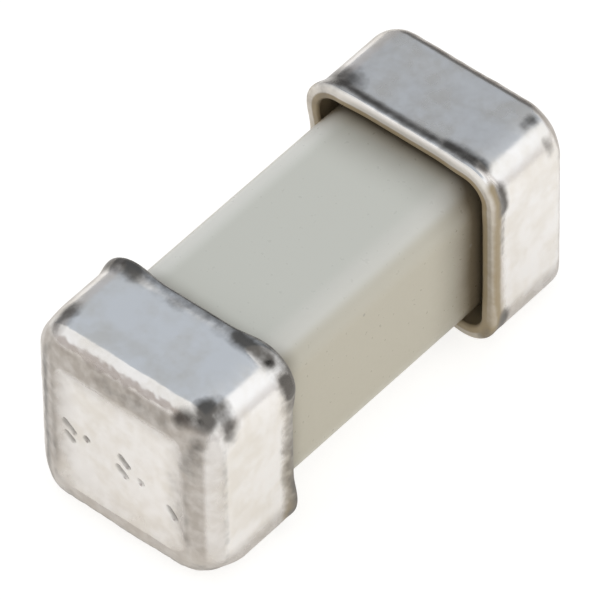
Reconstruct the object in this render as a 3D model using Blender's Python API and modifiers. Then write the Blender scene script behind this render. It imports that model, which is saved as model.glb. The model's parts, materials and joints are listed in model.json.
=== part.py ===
"""Square ceramic chip fuse, built as its maker puts it together.

Two drawn metal caps close the ends of a square ceramic tube. A fine wire crosses the round bore of the
tube from its lower edge at one end to its upper edge at the other, with each tail bent over the end of
the tube. Solder inside each cap holds cap, tube and wire together.

The fuse lies along X, centred on the origin, with its underside at Z = 0.
"""

import math

import bmesh
import bpy
from mathutils import Matrix, Vector

MM = 0.001

# Whole fuse, over the caps
LENGTH = 6.10 * MM
SIDE = 2.69 * MM

# End cap, a square cup drawn from sheet
CAP_DEPTH = 1.32 * MM
CAP_WALL = 0.16 * MM
CAP_CORNER = 0.56 * MM        # outer radius of the four long edges
CAP_END_EDGE = 0.42 * MM      # outer radius between the sides and the end face
SIDE_DISH = 0.02 * MM         # how far the middle of each side face is sunk
END_DISH = 0.03 * MM          # how far the middle of the end face is sunk
DISH_BORDER = 0.12 * MM       # width of the slope round each sunk panel

# Open lip of the cap, which rises to an ear at each corner and has sharper corners than the wall behind it
LIP_CORNER = 0.40 * MM
LIP_LAND = 0.06 * MM          # straight stretch behind the rim
LIP_SLOPE = 0.10 * MM         # stretch in which the wall runs down from the lip
LIP_RISE = 0.015 * MM         # how far the lip stands over the wall
LIP_ROUNDING = 0.045 * MM     # rounding of the rim's two edges
LIP_SAG = 0.045 * MM          # how far the middle of each side lies below the ears at the corners
EAR_LENGTH = 0.45 * MM        # length of the rise from there to each ear

# Ceramic tube, square outside with a round bore
TUBE_WALL = 0.43 * MM         # at the middle of each side, where it is thinnest
TUBE_CORNER = 0.39 * MM
TUBE_END_ROUNDING = 0.04 * MM
BORE_MOUTH = 0.08 * MM        # rounding of the mouth that the wire bends over

# Fuse wire
WIRE_DIAMETER = 0.08 * MM
WIRE_TAIL_INSET = 0.11 * MM    # from the end of each tail to the side of the tube

# Solder
SOLDER_BED = 0.22 * MM        # room between the end of the tube and the inside of the cap
SOLDER_SKIRT = 0.62 * MM      # how far the solder reaches along the tube
SOLDER_FILM = 0.045 * MM      # thickness of that skirt

# Gap left between any two pieces
FIT = 0.015 * MM

# Fineness of the curves
CORNER_STEPS = 8
LIP_STEPS = 4
EDGE_STEPS = 8
BORE_STEPS = 40
MOUTH_STEPS = 4
BEND_STEPS = 6
ROUNDING_STEPS = 3

# Places across half a side face, from its middle to its corner, where the loft has points
FACE_STATIONS = (0.0, 0.5, 0.65, 0.8, 0.92)

MERGE = 1e-7

MIDDLE = Vector((0.0, 0.0, SIDE / 2))
CAP_HALF = SIDE / 2 - LIP_RISE
CAP_INSIDE_HALF = CAP_HALF - SIDE_DISH - CAP_WALL
TUBE_SIDE = 2 * (CAP_INSIDE_HALF - SOLDER_FILM - 2 * FIT)
BORE_DIAMETER = TUBE_SIDE - 2 * TUBE_WALL
TUBE_LENGTH = LENGTH - 2 * (CAP_WALL + END_DISH + SOLDER_BED)
WIRE_RADIUS = WIRE_DIAMETER / 2
RIM_X = -LENGTH / 2 + CAP_DEPTH
TUBE_END_X = -TUBE_LENGTH / 2


def clear_scene():
    """Remove whatever the scene holds."""
    for old in list(bpy.data.objects):
        bpy.data.objects.remove(old, do_unlink=True)


def new_collection(name):
    """Return an empty collection linked to the scene."""
    collection = bpy.data.collections.new(name)
    bpy.context.scene.collection.children.link(collection)
    return collection


def new_material(name, color, roughness, metallic):
    """Return a Principled material."""
    material = bpy.data.materials.new(name)
    material.use_nodes = True
    shader = material.node_tree.nodes["Principled BSDF"]
    shader.inputs["Base Color"].default_value = (*color, 1.0)
    shader.inputs["Roughness"].default_value = roughness
    shader.inputs["Metallic"].default_value = metallic
    return material


def new_object(name, data, collection, material=None, location=(0.0, 0.0, 0.0)):
    """Link an object that holds the given mesh or curve."""
    obj = bpy.data.objects.new(name, data)
    obj.location = location
    if material:
        data.materials.append(material)
    collection.objects.link(obj)
    return obj


def as_cutter(obj):
    """Mark an object as a tool that only shapes others."""
    obj.hide_render = True
    obj.display_type = "WIRE"
    return obj


def finish_mesh(bm, name):
    """Turn a bmesh into a mesh whose faces point outwards and whose curves look smooth."""
    bmesh.ops.recalc_face_normals(bm, faces=bm.faces)
    mesh = bpy.data.meshes.new(name)
    bm.to_mesh(mesh)
    bm.free()
    mesh.shade_smooth()
    mesh.set_sharp_from_angle(angle=math.radians(35))
    return mesh


def smooth_step(value):
    """Ease from 0 to 1, level at both ends."""
    value = min(max(value, 0.0), 1.0)
    return value * value * (3 - 2 * value)


def cut(obj, cutter):
    """Take the cutter's shape out of an object."""
    boolean = obj.modifiers.new("cut_" + cutter.name, "BOOLEAN")
    boolean.operation = "DIFFERENCE"
    boolean.solver = "EXACT"
    boolean.object = cutter


# End caps


def square_ring(half, corner, dish, border):
    """Points (y, z) round a square with rounded corners.

    Its sides are sunk by dish, in a slope of the border's width at both ends.
    """
    flat = half - corner
    inner = [-station for station in reversed(FACE_STATIONS) if station > 0]
    stations = [-1.0, *inner, *FACE_STATIONS]
    points = []
    for quarter in range(4):
        turn = Matrix.Rotation(quarter * math.pi / 2, 2)
        for station in stations:
            sunk = dish * smooth_step((1 - abs(station)) * flat / border)
            points.append(turn @ Vector((half - sunk, station * flat)))
        for step in range(CORNER_STEPS):
            angle = step / CORNER_STEPS * math.pi / 2
            arm = Vector((math.cos(angle), math.sin(angle))) * corner
            points.append(turn @ (Vector((flat, flat)) + arm))
    return points


def cap_sections(wall):
    """Sections of the left cap's surface from rim to end face, as x, half, corner, dish and border.

    With no wall it is the outer surface, and with the sheet's thickness the inner one.
    """
    corner_here = CAP_CORNER - wall
    half_here = CAP_HALF - wall
    sections = [(RIM_X, SIDE / 2 - wall, LIP_CORNER - wall, LIP_SAG, EAR_LENGTH)]
    slope_x = RIM_X - LIP_LAND
    for step in range(LIP_STEPS + 1):
        share = step / LIP_STEPS
        ease = smooth_step(share)
        corner = LIP_CORNER + (CAP_CORNER - LIP_CORNER) * ease
        half = SIDE / 2 - LIP_RISE * ease
        dish = LIP_SAG + (SIDE_DISH - LIP_SAG) * ease
        border = EAR_LENGTH + (DISH_BORDER - EAR_LENGTH) * ease
        sections.append((slope_x - LIP_SLOPE * share, half - wall, corner - wall, dish, border))

    panel_end = -LENGTH / 2 + CAP_END_EDGE
    for share in (1.0, 0.5):
        x = panel_end + DISH_BORDER * share
        sections.append((x, half_here, corner_here, SIDE_DISH * share, DISH_BORDER))

    bend = CAP_END_EDGE - wall
    for step in range(EDGE_STEPS + 1):
        angle = step / EDGE_STEPS * math.pi / 2
        inset = bend * (1 - math.cos(angle))
        x = panel_end - bend * math.sin(angle)
        corner = max(corner_here - inset, CAP_CORNER / 10)
        sections.append((x, half_here - inset, corner, 0.0, DISH_BORDER))

    end_x, end_half, end_corner, *_ = sections[-1]
    for sunk, half, corner in (
        (END_DISH / 2, end_half - DISH_BORDER / 2, end_corner),
        (END_DISH, end_half - DISH_BORDER, end_corner),
        (END_DISH, (end_half - DISH_BORDER) / 2, end_corner / 2),
    ):
        sections.append((end_x + sunk, half, corner, 0.0, DISH_BORDER))
    return sections


def cap_mesh():
    """The left cap, lofted outside from rim to end face and inside from end face to rim."""
    bm = bmesh.new()
    outer = cap_sections(0.0)
    inner = cap_sections(CAP_WALL)
    rows = []
    for x, *shape in [*reversed(inner), *outer]:
        rows.append([bm.verts.new((x, *point)) for point in square_ring(*shape)])
    count = len(rows[0])
    for near, far in zip(rows, rows[1:]):
        for index in range(count):
            after = (index + 1) % count
            bm.faces.new((near[index], near[after], far[after], far[index]))
    for row, section in ((rows[0], inner[-1]), (rows[-1], outer[-1])):
        centre = bm.verts.new((section[0], 0.0, 0.0))
        for index in range(count):
            bm.faces.new((row[index], row[(index + 1) % count], centre))
    return finish_mesh(bm, "end_cap")


def make_cap(name, mesh, turned, collection, material):
    """One end cap, with the two edges of its rim rounded."""
    cap = new_object(name, mesh, collection, None, MIDDLE)
    cap.rotation_euler.z = math.pi if turned else 0.0
    if not mesh.materials:
        mesh.materials.append(material)
    rim = cap.modifiers.new("rim", "BEVEL")
    rim.limit_method = "ANGLE"
    rim.angle_limit = math.radians(60)
    rim.width = LIP_ROUNDING
    rim.segments = ROUNDING_STEPS
    return cap


# Ceramic tube


def rounded_bar(name, start_x, end_x, side, corner, start_rounding=0.0, end_rounding=0.0):
    """Mesh of a square bar along X with rounded long edges and, where asked, rounded ends."""
    bm = bmesh.new()
    bmesh.ops.create_cube(bm, size=1.0)
    size = Matrix.Diagonal((end_x - start_x, side, side, 1.0))
    middle = Matrix.Translation(((start_x + end_x) / 2, 0.0, 0.0))
    bmesh.ops.transform(bm, matrix=middle @ size, verts=bm.verts)

    long_edges = [edge for edge in bm.edges if abs(edge.verts[0].co.x - edge.verts[1].co.x) > MERGE]
    bmesh.ops.bevel(
        bm, geom=long_edges, offset=corner, offset_type="OFFSET", segments=CORNER_STEPS,
        profile=0.5, affect="EDGES",
    )
    for x, rounding in ((start_x, start_rounding), (end_x, end_rounding)):
        if rounding:
            loop = [edge for edge in bm.edges if all(abs(vert.co.x - x) < MERGE for vert in edge.verts)]
            bmesh.ops.bevel(
                bm, geom=loop, offset=rounding, offset_type="OFFSET", segments=ROUNDING_STEPS,
                profile=0.5, affect="EDGES",
            )
    return finish_mesh(bm, name)


def make_bore_cutter(collection):
    """Turned cutter for the bore: straight through, opening into a rounded mouth at each end."""
    radius = BORE_DIAMETER / 2
    half = TUBE_LENGTH / 2
    profile = []
    for step in range(MOUTH_STEPS + 1):
        angle = step / MOUTH_STEPS * math.pi / 2
        x = half - BORE_MOUTH * (1 - math.sin(angle))
        profile.append((x, radius + BORE_MOUTH * (1 - math.cos(angle))))
    profile.append((half + BORE_MOUTH, profile[-1][1]))
    left = [(-x, r) for x, r in reversed(profile)]

    bm = bmesh.new()
    outline = [(left[0][0], 0.0), *left, *profile, (profile[-1][0], 0.0)]
    verts = [bm.verts.new((0.0, r, x)) for x, r in outline]
    for first, second in zip(verts, verts[1:]):
        bm.edges.new((first, second))
    bmesh.ops.spin(
        bm, geom=bm.verts[:] + bm.edges[:], cent=(0.0, 0.0, 0.0), axis=(0.0, 0.0, 1.0),
        angle=2 * math.pi, steps=BORE_STEPS, use_merge=True,
    )
    bmesh.ops.remove_doubles(bm, verts=bm.verts, dist=MERGE)
    bmesh.ops.rotate(bm, verts=bm.verts, matrix=Matrix.Rotation(math.pi / 2, 3, "Y"))
    mesh = finish_mesh(bm, "bore_cutter")
    return as_cutter(new_object("bore_cutter", mesh, collection, None, MIDDLE))


def make_tube(collection, cutters, material):
    """The ceramic tube with its round bore."""
    mesh = rounded_bar(
        "ceramic_body", -TUBE_LENGTH / 2, TUBE_LENGTH / 2, TUBE_SIDE, TUBE_CORNER,
        TUBE_END_ROUNDING, TUBE_END_ROUNDING,
    )
    tube = new_object("ceramic_body", mesh, collection, material, MIDDLE)
    cut(tube, make_bore_cutter(cutters))
    return tube


# Fuse wire


def wire_route():
    """Centre line of the wire: tail, bend over the bore's mouth, straight run, and the same turned round."""
    bend = BORE_MOUTH + FIT + WIRE_RADIUS
    pivot = Vector((TUBE_END_X + BORE_MOUTH, 0.0, -BORE_DIAMETER / 2 - BORE_MOUTH))
    # The run is the line that passes over this bend and under the opposite one.
    to_other = math.atan2(-pivot.z, -pivot.x)
    slope = to_other - math.asin(bend / pivot.length)

    tail = max(TUBE_SIDE / 2 + pivot.z - WIRE_TAIL_INSET, WIRE_RADIUS)
    first_half = [pivot + Vector((-bend, 0.0, -tail))]
    for step in range(BEND_STEPS + 1):
        angle = math.pi + (slope - math.pi / 2) * step / BEND_STEPS
        first_half.append(pivot + Vector((math.cos(angle), 0.0, math.sin(angle))) * bend)
    second_half = [-point for point in reversed(first_half)]
    return first_half + second_half


def make_wire(name, radius, collection, material=None):
    """A round wire along the route, as a curve with filled ends."""
    curve = bpy.data.curves.new(name, "CURVE")
    curve.dimensions = "3D"
    curve.bevel_depth = radius
    curve.bevel_resolution = 2
    curve.use_fill_caps = True
    route = wire_route()
    spline = curve.splines.new("POLY")
    spline.points.add(len(route) - 1)
    for point, place in zip(spline.points, route):
        point.co = (*place, 1.0)
    return new_object(name, curve, collection, material, MIDDLE)


def make_wire_cutter(collection):
    """Solid a little thicker than the wire, to make room for it in the solder."""
    thick_wire = make_wire("wire_room", WIRE_RADIUS + FIT, collection)
    bpy.context.view_layer.update()
    evaluated = thick_wire.evaluated_get(bpy.context.evaluated_depsgraph_get())
    mesh = bpy.data.meshes.new_from_object(evaluated)
    place = thick_wire.matrix_world.copy()
    bpy.data.objects.remove(thick_wire, do_unlink=True)

    bm = bmesh.new()
    bm.from_mesh(mesh)
    bmesh.ops.remove_doubles(bm, verts=bm.verts, dist=MERGE)
    bmesh.ops.recalc_face_normals(bm, faces=bm.faces)
    bm.to_mesh(mesh)
    bm.free()
    cutter = new_object("wire_cutter", mesh, collection)
    cutter.matrix_world = place
    return as_cutter(cutter)


# Solder


def make_solder(name, turned, collection, tube_room, wire_room, material):
    """Solder in one cap: it fills the cap's end and runs back as a thin skirt round the tube."""
    start = -LENGTH / 2 + END_DISH + CAP_WALL + FIT
    half = CAP_INSIDE_HALF - FIT
    corner = CAP_CORNER - SIDE_DISH - CAP_WALL - FIT
    rounding = min(CAP_END_EDGE - CAP_WALL - FIT, 0.9 * corner)
    mesh = rounded_bar(
        name, start, TUBE_END_X + SOLDER_SKIRT, 2 * half, corner, start_rounding=rounding,
    )
    solder = new_object(name, mesh, collection, material, MIDDLE)
    solder.rotation_euler.z = math.pi if turned else 0.0
    cut(solder, tube_room)
    cut(solder, wire_room)
    return solder


def make_tube_room(collection):
    """Cutter a little larger than the outside of the tube, to make room for it in the solder."""
    mesh = rounded_bar(
        "tube_room", TUBE_END_X - FIT, -TUBE_END_X + FIT, TUBE_SIDE + 2 * FIT, TUBE_CORNER + FIT,
        TUBE_END_ROUNDING, TUBE_END_ROUNDING,
    )
    return as_cutter(new_object("tube_room", mesh, collection, None, MIDDLE))


def main():
    """Build the fuse."""
    clear_scene()
    pieces = new_collection("square_ceramic_fuse")
    cutters = new_collection("cutters")

    plate = new_material("cap_plate", (0.78, 0.77, 0.75), 0.28, 1.0)
    ceramic = new_material("ceramic", (0.50, 0.50, 0.46), 0.60, 0.0)
    tin = new_material("solder", (0.55, 0.55, 0.56), 0.45, 1.0)
    link = new_material("fuse_wire", (0.74, 0.70, 0.64), 0.35, 1.0)

    make_tube(pieces, cutters, ceramic)
    make_wire("fuse_wire", WIRE_RADIUS, pieces, link)
    drawn_cap = cap_mesh()
    tube_room = make_tube_room(cutters)
    wire_room = make_wire_cutter(cutters)
    for side, turned in (("left", False), ("right", True)):
        make_cap("end_cap_" + side, drawn_cap, turned, pieces, plate)
        make_solder("solder_" + side, turned, pieces, tube_room, wire_room, tin)


main()
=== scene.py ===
"""Looks of a square ceramic chip fuse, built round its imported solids.

The two drawn caps and the ceramic tube are modelled again as fine meshes that stand for the plain solids.
The solder and the wire inside keep their solids and get a finish. Everything is in metres, and the fuse lies
along X with its underside at Z = 0.
"""

from __future__ import annotations

import json
import logging
import math
from collections.abc import Mapping, Sequence
from dataclasses import astuple, dataclass, field
from enum import Enum

import bpy
import numpy as np
from bpy.types import Material, Node, NodeSocket, NodeTree, Object
from mathutils import Matrix, Vector

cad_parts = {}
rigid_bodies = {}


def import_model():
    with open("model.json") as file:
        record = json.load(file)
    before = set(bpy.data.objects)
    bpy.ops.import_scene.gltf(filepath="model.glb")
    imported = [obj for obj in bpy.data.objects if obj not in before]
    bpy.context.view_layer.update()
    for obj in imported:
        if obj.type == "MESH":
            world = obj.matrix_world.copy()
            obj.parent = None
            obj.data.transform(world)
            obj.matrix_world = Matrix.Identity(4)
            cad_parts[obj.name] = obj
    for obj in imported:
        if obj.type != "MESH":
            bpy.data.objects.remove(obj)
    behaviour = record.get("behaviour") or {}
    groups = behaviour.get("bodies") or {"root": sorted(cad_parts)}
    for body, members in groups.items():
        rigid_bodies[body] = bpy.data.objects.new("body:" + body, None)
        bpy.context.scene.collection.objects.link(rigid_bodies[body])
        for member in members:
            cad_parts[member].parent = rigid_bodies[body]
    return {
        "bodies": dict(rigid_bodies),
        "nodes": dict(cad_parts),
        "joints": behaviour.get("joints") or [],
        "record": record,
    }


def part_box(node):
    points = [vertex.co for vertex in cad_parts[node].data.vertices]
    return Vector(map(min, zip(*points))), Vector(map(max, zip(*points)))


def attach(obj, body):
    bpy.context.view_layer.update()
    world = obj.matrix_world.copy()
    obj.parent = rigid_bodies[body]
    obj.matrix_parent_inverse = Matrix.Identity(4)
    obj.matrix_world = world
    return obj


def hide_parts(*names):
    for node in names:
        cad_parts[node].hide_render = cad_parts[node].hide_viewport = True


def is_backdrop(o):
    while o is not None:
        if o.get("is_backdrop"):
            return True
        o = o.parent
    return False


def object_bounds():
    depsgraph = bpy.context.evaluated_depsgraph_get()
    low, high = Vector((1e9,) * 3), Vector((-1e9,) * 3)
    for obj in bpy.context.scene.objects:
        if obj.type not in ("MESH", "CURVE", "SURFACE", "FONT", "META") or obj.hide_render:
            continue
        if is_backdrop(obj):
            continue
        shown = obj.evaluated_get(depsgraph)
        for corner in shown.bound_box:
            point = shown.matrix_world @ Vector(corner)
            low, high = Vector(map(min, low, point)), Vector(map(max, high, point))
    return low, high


log = logging.getLogger("chip_fuse")

MM = 0.001
BODY = "root"

# Dulled plating: partly rubbed, partly painted shade and painted reflection on the bends, the far and under
# edges, the end face and the far cap's top.
WEAR_AND_SHADE = "wear"
# Dark marks: mostly painted shade and painted reflection, partly staining.
STAIN_AND_SHADE = "stain"
# Brown coat: flux, and on the lip's sides and underside partly a painted reflection of the shaded tube.
FLUX_AND_SHADE = "flux"
RELIEF = "relief"
RIDGE = "ridge"
CUT_EDGE = "cut_edge"

Colour = tuple[float, float, float]
Span = tuple[float, float]
Input = NodeSocket | float | int | bool | Sequence[float]


class End(Enum):
    """The two ends of the fuse, with the turn about Z that carries a left cap there."""

    LEFT = 0.0
    RIGHT = math.pi


def smooth_step(value: np.ndarray | float) -> np.ndarray:
    """Return a share of the way eased from 0 to 1, level at both ends and beyond them."""
    share = np.clip(value, 0.0, 1.0)
    return share * share * (3 - 2 * share)


def add_object(name: str, data: bpy.types.ID) -> Object:
    """Add an object to the scene, and return it."""
    added = bpy.data.objects.new(name, data)
    bpy.context.scene.collection.objects.link(added)
    return added


@dataclass(frozen=True)
class Graph:
    """Adds nodes to one tree and wires them."""

    tree: NodeTree

    def feed(self, node: Node, inputs: Mapping[int | str, Input]) -> None:
        """Wire or set a node's inputs, where a plain colour is opaque.

        Args:
            node: The node.
            inputs: Sockets or values for its inputs, by index or name.
        """
        for key, value in inputs.items():
            target = node.inputs[key]
            if isinstance(value, NodeSocket):
                self.tree.links.new(value, target)
            else:
                target.default_value = (*value, 1.0) if target.type == "RGBA" else value

    def add(self, kind: str, inputs: Mapping[int | str, Input], **settings: object) -> Node:
        """Add one node.

        Args:
            kind: Blender's name for the type of node.
            inputs: Sockets or values for its inputs, by index or name.
            **settings: The node's own settings.

        Returns:
            The new node.
        """
        node = self.tree.nodes.new(kind)
        for name, value in settings.items():
            setattr(node, name, value)
        self.feed(node, inputs)
        return node

    def out(self, kind: str, inputs: Mapping[int | str, Input], **settings: object) -> NodeSocket:
        """Add one node, as above, and return its first output."""
        return self.add(kind, inputs, **settings).outputs[0]

    def math(self, operation: str, first: Input, second: Input = 0.0) -> NodeSocket:
        """Return one sum or function of one or two numbers."""
        return self.out("ShaderNodeMath", {0: first, 1: second}, operation=operation)

    def times(self, first: Input, second: Input) -> NodeSocket:
        """Return one number times another."""
        return self.math("MULTIPLY", first, second)

    def vector(self, operation: str, first: Input, second: Input = (0.0, 0.0, 0.0)) -> Node:
        """Return the node for one operation on vectors."""
        return self.add("ShaderNodeVectorMath", {0: first, 1: second}, operation=operation)

    def ease(self, value: Input, start: float, end: float, low: float = 0.0, high: float = 1.0) -> NodeSocket:
        """Return a value eased over, so that it is low at the start and high at the end."""
        limits = {0: value, 1: start, 2: end, 3: low, 4: high}
        return self.out("ShaderNodeMapRange", limits, interpolation_type="SMOOTHSTEP")

    def mix(self, share: Input, first: Input, second: Input) -> NodeSocket:
        """Mix two colours, with the share of the second one."""
        node = self.add("ShaderNodeMix", {0: share, 6: first, 7: second}, data_type="RGBA")
        return node.outputs[2]

    def noise(self, place: Input, scale: Input, detail: float, seed: Input) -> NodeSocket:
        """Return noise from 0 to 1, with its scale in bumps to one unit and its detail in finer layers."""
        inputs = {"Vector": place, "W": seed, "Scale": scale, "Detail": detail}
        return self.out("ShaderNodeTexNoise", inputs, noise_dimensions="4D")

    def bump(self, height: Input, distance: float, strength: float) -> NodeSocket:
        """Return the normal of a surface raised by a height from 0 to 1."""
        return self.out("ShaderNodeBump", {"Height": height, "Distance": distance, "Strength": strength})


def new_material(name: str) -> tuple[Material, Graph, Node]:
    """Start a node material.

    Args:
        name: The material's name.

    Returns:
        The material, its graph and its Principled shader.
    """
    material = bpy.data.materials.new(name)
    material.use_nodes = True
    return material, Graph(material.node_tree), material.node_tree.nodes["Principled BSDF"]


def millimetres(graph: Graph) -> NodeSocket:
    """Return the place on the fuse, in millimetres, from the piece's Object coordinates."""
    place = graph.add("ShaderNodeTexCoord", {}).outputs["Object"]
    return graph.out("ShaderNodeMapping", {"Vector": place, "Scale": (1 / MM, 1 / MM, 1 / MM)})


@dataclass(frozen=True)
class PlateFinish:
    """Bright plating on drawn sheet. It is dulled on its bends and edges, partly by rubbing and partly as
    painted shade and painted reflection. It is darkened in its corners, mostly by painted shade and painted
    reflection. It is bare where it was cut, and drawn light there, partly as a painted reflection.

    Each scale is the number of noise bumps in a millimetre.
    """

    bright: Colour = (0.900, 0.890, 0.878)
    cloudy: Colour = (0.82, 0.791, 0.742)
    # dull: rubbed plating, and also the colour of painted shade and painted reflection on bends and edges.
    dull: Colour = (0.390, 0.357, 0.323)
    # dark: the colour of painted shade and painted reflection, and of staining.
    dark: Colour = (0.132, 0.124, 0.114)
    # The brown coat's colour: flux, partly used as painted reflection of the shaded tube.
    flux: Colour = (0.340, 0.270, 0.165)
    # cut: the bare cut edge, drawn light and partly non-metallic, partly as a painted reflection of the
    # bright floor.
    cut: Colour = (0.82, 0.79, 0.74)
    roughness: float = 0.20
    dull_roughness: float = 0.34
    cut_roughness: float = 0.46
    flux_roughness: float = 0.50
    cloud_scale: float = 2.3
    fine_scale: float = 7.0
    patch_scale: float = 6.5
    grain_scale: float = 16.0
    ragged_flux: float = 0.60
    ragged_stain: float = 1.05
    thin_stain: float = 0.25
    cut_coat: float = 0.55
    grain_depth: float = 0.0020 * MM
    grain_strength: float = 0.6

    def material(self) -> Material:
        """Return the plating's material, which reads the cap's dulling, dark marks, brown coat and cut edge.
        The first three are partly painted shade and painted reflection.
        """
        material, graph, shader = new_material("plated_cap")
        place = millimetres(graph)
        wear, stain, flux, bare = (
            graph.add("ShaderNodeAttribute", {}, attribute_name=name).outputs["Fac"]
            for name in (WEAR_AND_SHADE, STAIN_AND_SHADE, FLUX_AND_SHADE, CUT_EDGE)
        )
        cloud = graph.noise(place, self.cloud_scale, 3.0, 1.0)
        fine = graph.noise(place, self.fine_scale, 4.0, 2.0)
        mottle = graph.ease(graph.math("ADD", cloud, graph.times(fine, 0.45)), 0.58, 0.95)
        tint = graph.mix(mottle, self.bright, self.cloudy)
        # Dulling: partly rubbed plating, partly painted shade and painted reflection.
        worn_and_shaded = graph.times(wear, graph.ease(fine, 0.30, 0.68, 0.76, 1.0))
        tint = graph.mix(worn_and_shaded, tint, self.dull)
        # Bare cut edge, drawn light, partly as a painted reflection.
        tint = graph.mix(bare, tint, self.cut)
        patchy = graph.math("SUBTRACT", graph.noise(place, self.patch_scale, 5.0, 9.0), 0.5)
        shares = []
        # The second coat is dark: mostly painted shade and painted reflection, partly staining.
        coats = ((flux, self.flux, self.ragged_flux), (stain, self.dark, self.ragged_stain))
        for value, colour, ragged in coats:
            torn = graph.math("ADD", value, graph.times(patchy, ragged))
            thin = graph.ease(value, 0.0, self.thin_stain)
            share = graph.times(graph.ease(torn, 0.0, 1.0), thin)
            tint = graph.mix(share, tint, colour)
            shares.append(share)

        rough = graph.ease(cloud, 0.35, 0.70, self.roughness - 0.04, self.roughness + 0.06)
        for share, value in (
            (worn_and_shaded, self.dull_roughness),
            (bare, self.cut_roughness),
            (shares[0], self.flux_roughness),
        ):
            rough = graph.out("ShaderNodeMix", {0: share, 2: rough, 3: value})
        coated = graph.math("MAXIMUM", graph.times(bare, self.cut_coat), shares[0])
        metal = graph.math("SUBTRACT", 1.0, coated)
        grains = graph.noise(place, self.grain_scale, 3.0, 3.0)
        grain = graph.bump(grains, self.grain_depth, self.grain_strength)
        graph.feed(shader, {"Base Color": tint, "Roughness": rough, "Metallic": metal, "Normal": grain})
        return material


@dataclass(frozen=True)
class CeramicFinish:
    """Fired ceramic: grey-white, with its sides painted warmer and darker as light from the warm floor falls
    on them, a painted highlight on its rounded edges, and brown near the caps, partly flux and partly painted
    shade where the caps shade the tube.

    The reaches and spans say where each look begins and where it is full, in millimetres from the tube's
    middle. Each scale is the number of noise bumps, or specks, in a millimetre.
    """

    middle_height: float
    body: Colour = (0.585, 0.590, 0.535)
    # side: painted light, the sides drawn warmer and darker than the top as the warm floor lights them.
    side: Colour = (0.490, 0.462, 0.372)
    # Painted highlights on the rounded long edges; the far one is paler still.
    edge: Colour = (0.620, 0.615, 0.565)
    far_edge: Colour = (0.74, 0.74, 0.69)
    stain: Colour = (0.100, 0.076, 0.044)
    speck: Colour = (0.20, 0.19, 0.17)
    roughness: float = 0.32
    cloud_scale: float = 1.1
    patch_scale: float = 1.7
    grain_scale: float = 14.0
    grain_depth: float = 0.0010 * MM
    # Brown towards each cap, partly flux and partly painted shade where the caps shade the tube; it reaches
    # further along the sides.
    right_stain: Span = (0.90, 1.72)
    left_stain: Span = (1.36, 1.68)
    stain_ragged: float = 0.16
    stain_curve: float = 1.9
    stain_most: float = 0.94
    side_lead: float = 0.12
    side_span: Span = (0.80, 1.05)
    side_patchy: float = 0.5
    edge_span: Span = (0.62, 0.84)
    speck_scale: float = 1.35
    speck_span: Span = (0.020, 0.045)
    speck_share: float = 0.6

    def material(self) -> Material:
        """Return the ceramic's material."""
        material, graph, shader = new_material("fired_ceramic")
        place = millimetres(graph)
        parts = graph.add("ShaderNodeSeparateXYZ", {0: place}).outputs
        cloud = graph.noise(place, self.cloud_scale, 3.0, 4.0)
        across = graph.math("ABSOLUTE", parts[1])
        above = graph.math("ABSOLUTE", graph.math("SUBTRACT", parts[2], self.middle_height / MM))
        # Painted light: the sides take the warmer, darker side colour.
        beside = graph.ease(across, *self.side_span)
        warmer = graph.times(graph.math("SUBTRACT", cloud, 0.5), self.side_patchy)
        warmth = graph.math("ADD", beside, warmer)
        tint = graph.mix(graph.ease(warmth, 0.0, 1.0), self.body, self.side)
        # Painted highlight on the rounded long edges, weaker on the sides.
        rounded = graph.ease(graph.math("MINIMUM", across, above), *self.edge_span)
        edge_highlight = graph.times(rounded, graph.ease(beside, 0.35, 1.0, 1.0, 0.25))
        edges = graph.mix(graph.ease(parts[1], -0.4, 0.4), self.edge, self.far_edge)
        tint = graph.mix(edge_highlight, tint, edges)

        patches = graph.noise(place, self.patch_scale, 2.0, 5.0)
        ragged = graph.times(graph.math("SUBTRACT", patches, 0.5), self.stain_ragged)
        # Painted shade and flux near the caps, reaching further on the sides.
        lead = graph.math("ADD", ragged, graph.times(beside, self.side_lead))
        for along, (start, full) in (
            (parts[0], self.right_stain),
            (graph.times(parts[0], -1.0), self.left_stain),
        ):
            past = graph.math("SUBTRACT", graph.math("ADD", along, lead), start)
            reach = graph.math("DIVIDE", past, full - start)
            share = graph.math("MINIMUM", graph.math("MAXIMUM", reach, 0.0), 1.0)
            browned = graph.times(graph.math("POWER", share, self.stain_curve), self.stain_most)
            tint = graph.mix(browned, tint, self.stain)

        specks = graph.out("ShaderNodeTexVoronoi", {"Vector": place, "Scale": self.speck_scale})
        near = graph.ease(specks, *self.speck_span, 1.0, 0.0)
        tint = graph.mix(graph.times(near, self.speck_share), tint, self.speck)

        fine = graph.noise(place, self.grain_scale, 5.0, 6.0)
        rough = graph.ease(fine, 0.3, 0.7, self.roughness - 0.05, self.roughness + 0.08)
        grain = graph.bump(fine, self.grain_depth, 0.5)
        graph.feed(shader, {"Base Color": tint, "Roughness": rough, "Normal": grain})
        return material


@dataclass(frozen=True)
class DullMetalFinish:
    """Plain metal inside the fuse, clouded between two tones."""

    name: str
    light: Colour
    shade: Colour
    roughness: float
    scale: float

    def material(self) -> Material:
        """Return the metal's material."""
        material, graph, shader = new_material(self.name)
        cloud = graph.noise(millimetres(graph), self.scale, 4.0, 7.0)
        tint = graph.mix(cloud, self.light, self.shade)
        rough = graph.ease(cloud, 0.3, 0.7, self.roughness, self.roughness + 0.15)
        grain = graph.bump(cloud, 0.003 * MM, 0.7)
        graph.feed(shader, {"Base Color": tint, "Roughness": rough, "Metallic": 1.0, "Normal": grain})
        return material


class Zone(Enum):
    """Parts of the cap's surface."""

    INSIDE = 0
    RIM = 1
    LIP = 2
    WALL = 3
    BEND = 4
    END = 5


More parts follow.
